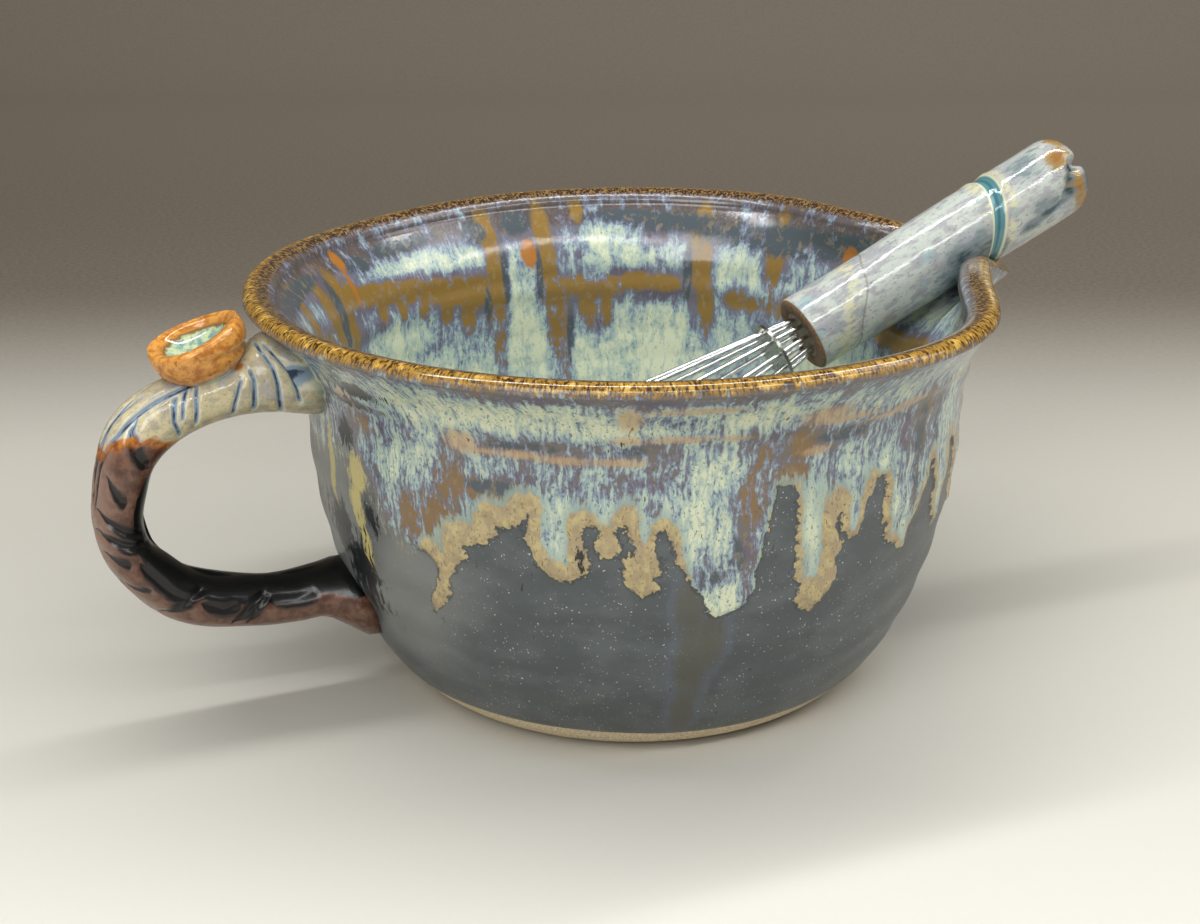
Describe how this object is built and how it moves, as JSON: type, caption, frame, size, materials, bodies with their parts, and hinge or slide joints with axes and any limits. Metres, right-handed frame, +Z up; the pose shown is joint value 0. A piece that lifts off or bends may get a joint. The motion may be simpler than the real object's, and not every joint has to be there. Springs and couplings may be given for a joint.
{
  "type": "batter bowl",
  "caption": "Stoneware batter bowl with a pulled spout, a strap handle with a thumb rest, and a small wire whisk with a stoneware handle resting in it.",
  "frame": {"origin": "centre of the flat foot, on the surface that the bowl stands on", "axes": "+Z up, +X out through the spout, the handle on the -X side"},
  "size_m": [0.3015, 0.216, 0.1415],
  "materials": {
    "bowl_glaze": "slate grey semi-matte glaze under a run variegated blue, cream and amber gloss glaze",
    "handle_glaze": "chocolate brown gloss glaze breaking to oatmeal cream over carved grooves",
    "thumb_glaze": "orange amber gloss glaze with a pale teal pool",
    "whisk_handle_glaze": "pale blue-grey and cream gloss glaze",
    "epoxy": "hardened epoxy",
    "disc_steel": "rolled stainless steel",
    "wire_steel": "polished stainless steel wire"
  },
  "bodies": {
    "bowl": {"bowl": "bowl_glaze", "handle": "handle_glaze", "thumb_rest": "thumb_glaze"},
    "whisk": {"whisk_handle": "whisk_handle_glaze", "epoxy_plug": "epoxy", "spreader_disc": "disc_steel", "wire_loop_1": "wire_steel", "wire_loop_2": "wire_steel", "wire_loop_3": "wire_steel", "wire_loop_4": "wire_steel", "wire_loop_5": "wire_steel"}
  },
  "joints": [
    {"name": "whisk_lift", "type": "slide", "parent": "bowl", "child": "whisk", "axis": [0, 0, 1], "range_m": [0, 0.18]}
  ]
}
